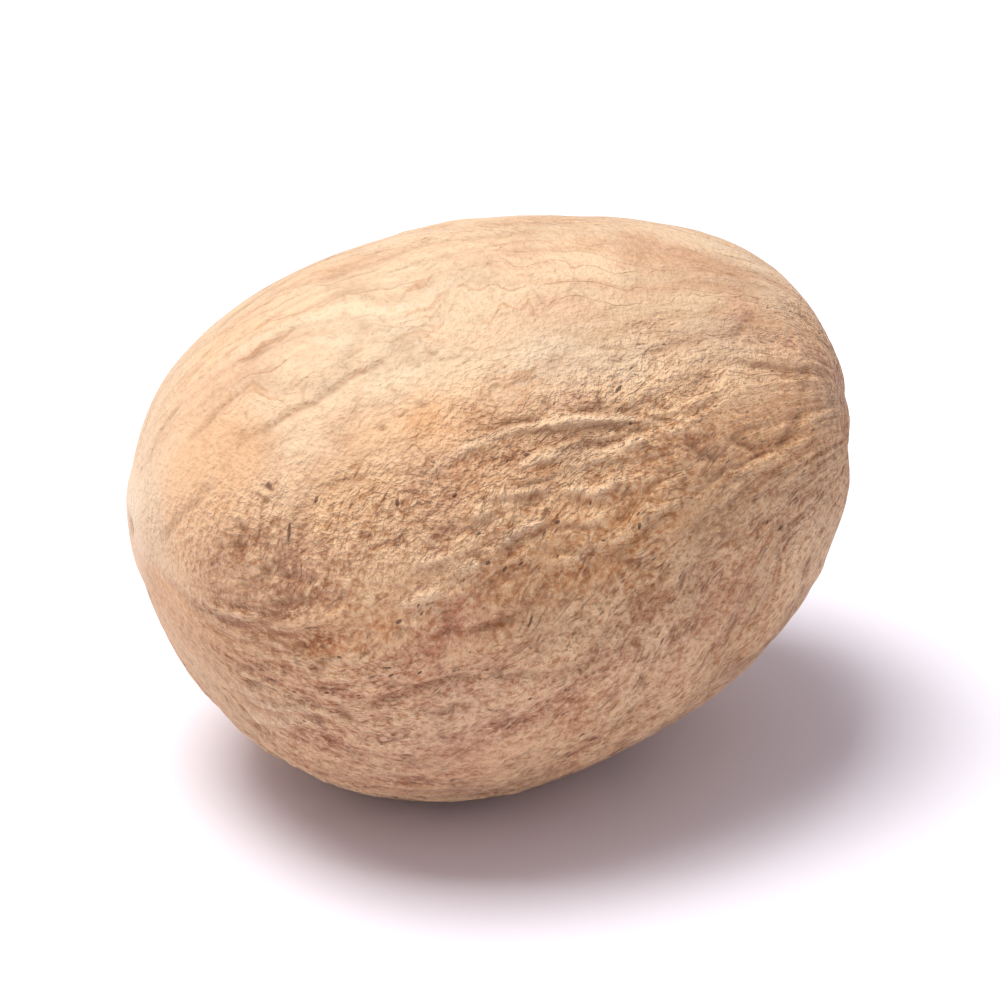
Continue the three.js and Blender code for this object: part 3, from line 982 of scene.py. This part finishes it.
        masks = {
            "furrow": np.clip(0.5 * furrow + 0.45 * small, 0.0, 1.0),
            "shade": parts.shade,
            # painted highlight on the lips' upper, lit sides
            "crest_highlight": parts.crest_highlight,
            # painted shade along the lips' lower sides
            "foot_shade": parts.foot_shade,
            # painted shade: the finish darkens the trench below each lip by this
            "trench": np.minimum(1.0, parts.trench / TRENCH_FULL),
            # height of the fine relief; the finish paints shade where it is low and a highlight where it
            # is high
            "rough": np.clip(0.5 + 0.5 * (0.4 * rough + 0.8 * wrinkle + 0.7 * pleat) * cover, 0.0, 1.0),
            "cover": cover,
            "scar": scar,
            "pore": np.maximum(0.5 * pore, deep),
            "dimple": dimple,
            "girth": ramp(0.2, 0.6, place.girth),
            # the crown is smoother skin; the finish also lays it paler as a painted highlight on the lit
            # top
            "crown": fine.crowned(place),
            **self.tones(place, grown),
        }
        circle = np.stack([np.cos(grown.turn), np.sin(grown.turn)], axis=1) * radius
        flow = np.column_stack([circle, place.along * self.form.length / 2.0])
        return Skin(self.form.skin(place.direction, broad + detail), masks, flow)

    def build(self) -> bpy.types.Object:
        """Puts the skin into a mesh, in metres, with an attribute for each mask and for the flow.

        Returns:
            The seed's object.
        """
        skin = self.skin()
        mesh = bpy.data.meshes.new("nutmeg_skin")
        mesh.from_pydata((skin.points * MM).tolist(), [], self.faces())
        mesh.validate()
        mesh.update()
        for name, values in skin.masks.items():
            mask = mesh.attributes.new(name, "FLOAT", "POINT")
            mask.data.foreach_set("value", values.astype(np.float32))
        flow = mesh.attributes.new("flow", "FLOAT_VECTOR", "POINT")
        flow.data.foreach_set("vector", skin.flow.astype(np.float32).ravel())
        mesh.shade_smooth()
        piece = bpy.data.objects.new("nutmeg_skin", mesh)
        bpy.context.scene.collection.objects.link(piece)
        return piece

    def dress(self, piece: bpy.types.Object) -> None:
        """Gives the seed its finish."""
        piece.data.materials.append(SeedShellFinish().make())


# ---------------------------------------------------------------- finishes


class Blend(Enum):
    """Ways of laying one colour over another."""

    MIX = "MIX"
    MULTIPLY = "MULTIPLY"


class NodeBoard:
    """Adds and joins the nodes of one material."""

    def __init__(self, name: str) -> None:
        """Starts a material with a shader and an output.

        Args:
            name: the material's name.
        """
        self.material = bpy.data.materials.new(name)
        self.material.use_nodes = True
        self.nodes = self.material.node_tree.nodes
        self.links = self.material.node_tree.links
        self.shader = self.nodes["Principled BSDF"]

    def node(self, kind: str, settings: dict[str, object], inputs: dict[str | int, object]) -> Node:
        """One node.

        Args:
            kind: Blender's name of the node type.
            settings: attributes to set on the node.
            inputs: a value, or an output socket to join, for each named or numbered input.

        Returns:
            The new node.
        """
        made = self.nodes.new(kind)
        for key, value in settings.items():
            setattr(made, key, value)
        for key, value in inputs.items():
            self.put(made, key, value)
        return made

    def put(self, node: Node, key: str | int, value: object) -> None:
        """Joins an output socket to an input, or sets the input's own value.

        Args:
            node: the node with the input.
            key: the input's name or number.
            value: a socket or a plain value.
        """
        if isinstance(value, Socket):
            self.links.new(value, node.inputs[key])
        else:
            node.inputs[key].default_value = value

    def mask(self, name: str) -> Socket:
        """A mask that is stored on the mesh."""
        return self.node("ShaderNodeAttribute", {"attribute_name": name}, {}).outputs["Fac"]

    def math(self, operation: str, first: object, second: object = 0.0) -> Socket:
        """A sum, product or other operation on two numbers."""
        return self.node("ShaderNodeMath", {"operation": operation}, {0: first, 1: second}).outputs[0]

    def times(self, first: object, second: object) -> Socket:
        """The product of two numbers."""
        return self.math("MULTIPLY", first, second)

    def span(
        self, value: object, low: float, high: float, bottom: float = 0.0, top: float = 1.0
    ) -> Socket:
        """Maps low to high onto bottom to top, smoothly, and holds it there outside.

        Args:
            value: the number to map.
            low: where it is bottom.
            high: where it is top.
            bottom: what low becomes.
            top: what high becomes.

        Returns:
            The mapped number.
        """
        settings = {"interpolation_type": "SMOOTHSTEP"}
        inputs = {"Value": value, "From Min": low, "From Max": high, "To Min": bottom, "To Max": top}
        return self.node("ShaderNodeMapRange", settings, inputs).outputs["Result"]

    def slope(self, value: object, start: float, end: float) -> Socket:
        """Rises evenly from 0 at start to 1 at end, and stays there."""
        inputs = {"Value": value, "From Min": start, "From Max": end}
        return self.node("ShaderNodeMapRange", {}, inputs).outputs["Result"]

    def noise(self, vector: object, scale: float, detail: float, roughness: float = 0.5) -> Socket:
        """Cloudy noise, 0 to 1."""
        inputs = {"Vector": vector, "Scale": scale, "Detail": detail, "Roughness": roughness}
        return self.node("ShaderNodeTexNoise", {}, inputs).outputs["Fac"]

    def scaled(self, vector: object, scale: Triple) -> Socket:
        """A vector with its parts scaled."""
        return self.node("ShaderNodeMapping", {}, {"Vector": vector, "Scale": scale}).outputs["Vector"]

    def warped(self, vector: object, scale: float, reach: float) -> Socket:
        """A vector moved about by cloudy noise.

        Args:
            vector: the vector to move.
            scale: the noise's pitch.
            reach: how far it moves the vector.

        Returns:
            The moved vector.
        """
        cloud = self.node("ShaderNodeTexNoise", {}, {"Vector": vector, "Scale": scale, "Detail": 1.0})
        inputs = {0: cloud.outputs["Color"], 1: (0.5, 0.5, 0.5)}
        centred = self.node("ShaderNodeVectorMath", {"operation": "SUBTRACT"}, inputs).outputs[0]
        inputs = {0: centred, 1: (2.0 * reach, 2.0 * reach, 2.0 * reach), 2: vector}
        return self.node("ShaderNodeVectorMath", {"operation": "MULTIPLY_ADD"}, inputs).outputs[0]

    def cells(self, vector: object) -> Socket:
        """Distance to the edge of the cell that a random scatter of points gives."""
        settings, inputs = {"feature": "DISTANCE_TO_EDGE"}, {"Vector": vector, "Scale": 1.0}
        return self.node("ShaderNodeTexVoronoi", settings, inputs).outputs["Distance"]

    def contour(self, value: object, width: float) -> Socket:
        """1 where a noise passes 0.5, 0 where it is more than width from it: thin winding lines."""
        away = self.math("ABSOLUTE", self.math("SUBTRACT", value, 0.5))
        return self.span(away, width, 0.0)

    def pores(self, vector: object, spacing: float) -> Socket:
        """Scattered small pits round some of the points of a random scatter.

        Args:
            vector: where, in millimetres.
            spacing: the mean distance between the points.

        Returns:
            1 in the middle of each pit, 0 away from it.
        """
        cells = self.node("ShaderNodeTexVoronoi", {}, {"Vector": vector, "Scale": 1.0 / spacing})
        size = self.span(cells.outputs["Color"], 0.25, 0.85, 0.01, 0.2)
        return self.span(self.math("DIVIDE", cells.outputs["Distance"], size), 1.0, 0.5)

    def over(self, base: object, share: object, colour: object, blend: Blend) -> Socket:
        """Lays one colour over another.

        Args:
            base: the colour below.
            share: how strongly the other one covers it, 0 to 1.
            colour: the colour on top.
            blend: the way of laying it.

        Returns:
            The joined colour.
        """
        made = self.node("ShaderNodeMix", {"data_type": "RGBA", "blend_type": blend.value}, {})
        for key, value in ((0, share), (6, self.rgba(base)), (7, self.rgba(colour))):
            self.put(made, key, value)
        return made.outputs[2]

    @staticmethod
    def rgba(colour: object) -> object:
        """Adds the opaque fourth part to a plain colour, and leaves a socket as it is."""
        return (*colour, 1.0) if isinstance(colour, tuple) else colour


@dataclass(frozen=True)
class Layer:
    """A colour laid over the skin: the pattern or mask that says where, how strongly, and which way."""

    pattern: str
    share: float
    colour: Triple
    blend: Blend = Blend.MIX


@dataclass(frozen=True)
class SeedShellFinish:
    """The dry, dull, woody skin of a nutmeg.

    The layers are laid over tan in their order. Heights are in millimetres. A pitch is how many lumps
    lie in a millimetre, twice across the grain and once along it. The pairs are the two ends of a ramp
    from none to all of a layer, as shares of the range of the noise or mask that it is made from. Some
    layers are painted light: a painted highlight on the tops of the relief, on the lips' crests and on
    the crown, and a painted shade in the hollows of the relief, in the trenches, along the lips' feet
    and along the grooves. Some cream and gold spots also brighten the seed's ends as painted light.
    """

    tan: Triple = linear(216, 165, 114)
    brown: Triple = linear(184, 125, 78)
    # laid on the crown as a painted highlight on the lit top, and in the cream spots
    cream: Triple = linear(225, 207, 177)
    furrow: Triple = linear(140, 88, 52)
    # painted shade: darkens the relief's hollows, the trenches and the lips' feet
    hollow_shade: Triple = (0.62, 0.42, 0.27)
    # painted highlight: lightens the tops of the relief
    ridge_highlight: Triple = linear(248, 208, 162)
    dark: Triple = linear(62, 48, 42)
    layers: tuple[Layer, ...] = (
        Layer("cloud", 0.8, linear(228, 192, 154)),
        # painted highlight: the crown, the top that the light falls on, laid paler in cream
        Layer("crown", 0.55, cream),
        Layer("bands", 0.4, brown),
        # stain tones; some cream and gold spots are also painted light that brightens the seed's ends
        Layer("gold", 0.7, linear(232, 167, 105)),
        Layer("grey", 0.55, linear(186, 152, 118)),
        Layer("pink", 0.75, linear(212, 150, 116)),
        Layer("cream", 0.5, cream),
        Layer("umber", 0.6, linear(164, 106, 72)),
        Layer("lines", 0.5, brown),
        # painted shade: the trench below each lip darkened
        Layer("trench", 0.2, hollow_shade, Blend.MULTIPLY),
        # painted shade where the mesh's folds lie low, and painted highlight where they lie high
        Layer("fold_hollow_shade", 0.95, hollow_shade, Blend.MULTIPLY),
        Layer("fold_ridge_highlight", 0.9, ridge_highlight),
        # painted shade in the nap's hollows, and painted highlight on its tops
        Layer("nap_hollow_shade", 0.9, hollow_shade, Blend.MULTIPLY),
        Layer("nap_ridge_highlight", 0.8, ridge_highlight),
        Layer("cracks", 0.75, furrow),
        # painted highlight on the upper, lit side of each lip
        Layer("crest_highlight", 0.85, linear(255, 222, 182)),
        # painted shade along the lower side of each lip
        Layer("foot_shade", 0.5, hollow_shade, Blend.MULTIPLY),
        Layer("furrow", 0.5, furrow),
        Layer("shade", 0.65, furrow),
        Layer("pores", 0.8, linear(80, 36, 12)),
        Layer("scar", 0.3, linear(232, 206, 180)),
        Layer("dimple_patches", 0.9, dark),
        Layer("pore", 0.95, dark),
    )
    heights: tuple[tuple[str, float], ...] = (
        ("bumps", 0.36),
        ("grit", 0.06),
        ("lines", -0.018),
        ("cracks", -0.04),
        ("pores", -0.06),
    )
    cloud_pitch: float = 0.2
    grit_pitch: float = 4.4
    band_pitch: Triple = (0.8, 0.8, 0.14)
    nap_pitch: Triple = (4.6, 4.6, 2.4)
    crack_pitch: Triple = (1.9, 1.9, 0.95)
    line_pitch: Triple = (0.9, 0.9, 0.07)
    pore_pitch: Triple = (1.0, 1.0, 0.75)
    pore_spacing: float = 0.5
    crack_width: float = 0.16
    line_width: float = 0.022
    cloud_ramp: Pair = (0.36, 0.62)
    band_ramp: Pair = (0.45, 0.68)
    crack_ramp: Pair = (0.5, 0.66)
    low_nap: Pair = (0.5, 0.37)
    high_nap: Pair = (0.51, 0.64)
    low_folds: Pair = (0.5, 0.05)
    high_folds: Pair = (0.5, 0.95)
    roughness: float = 0.7
    uneven_roughness: float = 0.1  # how far the nap changes it either way
    specular: float = 0.4
    sheen: float = 0.33
    sheen_roughness: float = 0.45
    sheen_tint: Triple = (1.0, 0.86, 0.7)

    def patterns(self, board: NodeBoard) -> dict[str, Socket]:
        """The patterns that aren't in the mesh, each 0 to 1.

        Clouds and grit have no direction. Bands, the nap of short waves, hairlines, cracks and pores
        follow the grain. Four patterns paint light from the mesh's folds and from the nap: a painted shade
        where they lie below the middle, and a painted highlight where they lie above it.

        Args:
            board: the material's nodes.

        Returns:
            The patterns by name.
        """
        place = board.node("ShaderNodeTexCoord", {}, {}).outputs["Object"]
        place = board.scaled(place, (1.0 / MM, 1.0 / MM, 1.0 / MM))
        flow = board.node("ShaderNodeAttribute", {"attribute_name": "flow"}, {}).outputs["Vector"]
        flow = board.warped(flow, 0.9, 0.5)
        cover, girth, folds = board.mask("cover"), board.mask("girth"), board.mask("rough")
        cloud = board.noise(place, self.cloud_pitch, 4.0, 0.6)
        bands = board.noise(board.scaled(flow, self.band_pitch), 1.0, 3.0)
        grit = board.noise(place, self.grit_pitch, 2.0, 0.6)
        nap = board.noise(board.scaled(flow, self.nap_pitch), 1.0, 2.0, 0.6)
        nap = board.node("ShaderNodeMix", {"data_type": "FLOAT"}, {0: girth, 2: grit, 3: nap}).outputs[0]
        nap = board.math("ADD", board.times(nap, 0.4), board.times(grit, 0.6))
        cracks = board.span(board.cells(board.scaled(flow, self.crack_pitch)), self.crack_width, 0.0)
        patches = board.times(board.span(board.noise(place, 1.3, 2.0), *self.crack_ramp), cover)
        lines = board.noise(board.scaled(flow, self.line_pitch), 1.0, 2.0)
        lines = board.contour(lines, self.line_width)
        stretches = board.span(board.noise(flow, 0.35, 1.0), 0.42, 0.6, 0.1, 1.0)
        pores = board.pores(board.scaled(flow, self.pore_pitch), self.pore_spacing)
        spots = board.span(board.noise(place, 1.6, 4.0, 0.7), 0.44, 0.6, 1.0, 0.1)
        return {
            "cloud": board.span(cloud, *self.cloud_ramp),
            "bands": board.span(bands, *self.band_ramp),
            "grit": grit,
            "nap": nap,
            "bumps": board.times(nap, board.span(cover, 0.0, 1.0, 0.1, 1.0)),
            # painted shade in the hollows and painted highlight on the tops, of the nap and of the mesh's
            # folds
            "nap_hollow_shade": board.times(board.slope(nap, *self.low_nap), cover),
            "nap_ridge_highlight": board.times(board.slope(nap, *self.high_nap), cover),
            "fold_hollow_shade": board.slope(folds, *self.low_folds),
            "fold_ridge_highlight": board.slope(folds, *self.high_folds),
            "cracks": board.times(board.times(cracks, girth), patches),
            "lines": board.times(board.times(lines, stretches), girth),
            "pores": board.times(board.times(pores, board.span(cover, 0.1, 0.8, 0.12, 1.0)), girth),
            "dimple_patches": board.times(board.mask("dimple"), spots),
        }

    def make(self) -> bpy.types.Material:
        """Builds the material: one colour from the layers, and one bump from the heights.

        Returns:
            The material.
        """
        board = NodeBoard("seed_shell")
        patterns = self.patterns(board)
        colour = self.tan
        for layer in self.layers:
            where = patterns[layer.pattern] if layer.pattern in patterns else board.mask(layer.pattern)
            colour = board.over(colour, board.times(where, layer.share), layer.colour, layer.blend)
        height = 0.0
        for name, amount in self.heights:
            height = board.math("ADD", height, board.times(patterns[name], amount))
        relief = board.node("ShaderNodeBump", {}, {"Strength": 1.0, "Distance": MM, "Height": height})
        dull, bright = self.roughness + self.uneven_roughness, self.roughness - self.uneven_roughness
        settings = {
            "Base Color": colour,
            "Normal": relief.outputs["Normal"],
            "Roughness": board.span(patterns["nap"], 0.3, 0.7, dull, bright),
            "Specular IOR Level": self.specular,
            "Sheen Weight": self.sheen,
            "Sheen Tint": (*self.sheen_tint, 1.0),
            "Sheen Roughness": self.sheen_roughness,
        }
        for name, value in settings.items():
            board.put(board.shader, name, value)
        return board.material


@dataclass(frozen=True)
class TableFinish:
    """A plain, matt, near-white surface."""

    colour: Triple = (0.9, 0.885, 0.95)
    roughness: float = 0.6
    specular: float = 0.2

    def make(self) -> bpy.types.Material:
        """Builds the material.

        Returns:
            The material.
        """
        board = NodeBoard("pale_table")
        board.put(board.shader, "Base Color", (*self.colour, 1.0))
        board.put(board.shader, "Roughness", self.roughness)
        board.put(board.shader, "Specular IOR Level", self.specular)
        return board.material


# ---------------------------------------------------------------- surroundings


@dataclass(frozen=True)
class Studio:
    """The table, the soft light and the camera. Lengths are in metres, angles in degrees."""

    table_side: float = 3.0
    world_colour: Triple = (1.0, 0.94, 1.03)
    world_light: float = 0.44
    key_colour: Triple = (1.0, 0.985, 0.965)
    key_power: float = 1.86
    key_side: float = 0.23
    key_from: Triple = (-0.088, 0.072, 0.383)
    key_to: Triple = (0.0, 0.0, 0.01)
    azimuth: float = -28.0
    elevation: float = 27.0
    lens: float = 200.0
    view_width: float = 0.0362
    aim: Triple = (0.0, 0.0, 0.0098)
    nearest: float = 0.01

    def table(self) -> bpy.types.Object:
        """The table: a plain square at the height the nutmeg rests on.

        Returns:
            The table's object.
        """
        half = self.table_side / 2.0
        corners = [(-half, -half, 0), (half, -half, 0), (half, half, 0), (-half, half, 0)]
        mesh = bpy.data.meshes.new("table")
        mesh.from_pydata(corners, [], [(0, 1, 2, 3)])
        table = bpy.data.objects.new("table", mesh)
        bpy.context.scene.collection.objects.link(table)
        mesh.materials.append(TableFinish().make())
        return table

    def light(self) -> None:
        """Near-white surroundings, and one large soft light from the upper left, a little behind."""
        scene = bpy.context.scene
        scene.world = bpy.data.worlds.new("studio")
        scene.world.use_nodes = True
        background = scene.world.node_tree.nodes["Background"]
        background.inputs["Color"].default_value = (*self.world_colour, 1.0)
        background.inputs["Strength"].default_value = self.world_light
        key = bpy.data.lights.new("key", "AREA")
        key.energy = self.key_power
        key.size = self.key_side
        key.color = self.key_colour
        self.aimed("key", key, self.key_from, self.key_to)
        scene.view_settings.view_transform = "Standard"

    def camera(self) -> None:
        """The camera: a long lens, aimed at the middle of the seed from the front and above."""
        data = bpy.data.cameras.new("camera")
        data.lens = self.lens
        data.clip_start = self.nearest
        distance = self.view_width * self.lens / data.sensor_width
        a, e = math.radians(self.azimuth), math.radians(self.elevation)
        back = np.array([math.sin(a) * math.cos(e), -math.cos(a) * math.cos(e), math.sin(e)])
        place = np.array(self.aim) + distance * back
        bpy.context.scene.camera = self.aimed("camera", data, tuple(place), self.aim)

    @staticmethod
    def aimed(name: str, data: bpy.types.ID, place: Triple, target: Triple) -> bpy.types.Object:
        """An object that looks from one place to another, upright.

        Args:
            name: the object's name.
            data: the light or the camera.
            place: where it stands.
            target: what it looks at.

        Returns:
            The object.
        """
        made = bpy.data.objects.new(name, data)
        bpy.context.scene.collection.objects.link(made)
        made.location = place
        made.rotation_euler = (Vector(target) - Vector(place)).to_track_quat("-Z", "Y").to_euler()
        return made


def main() -> None:
    """Builds the seed and its surroundings, and reports the seed's vertices and faces."""
    logging.basicConfig(level=logging.INFO, format="%(message)s")
    studio = Studio()
    studio.table()
    studio.light()
    studio.camera()
    nutmeg = Nutmeg()
    seed = nutmeg.build()
    nutmeg.dress(seed)
    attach(seed, "root")
    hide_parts("nutmeg")
    LOG.info("%s: %d vertices, %d faces", seed.name, len(seed.data.vertices), len(seed.data.polygons))


if __name__ == "__main__":
    main()
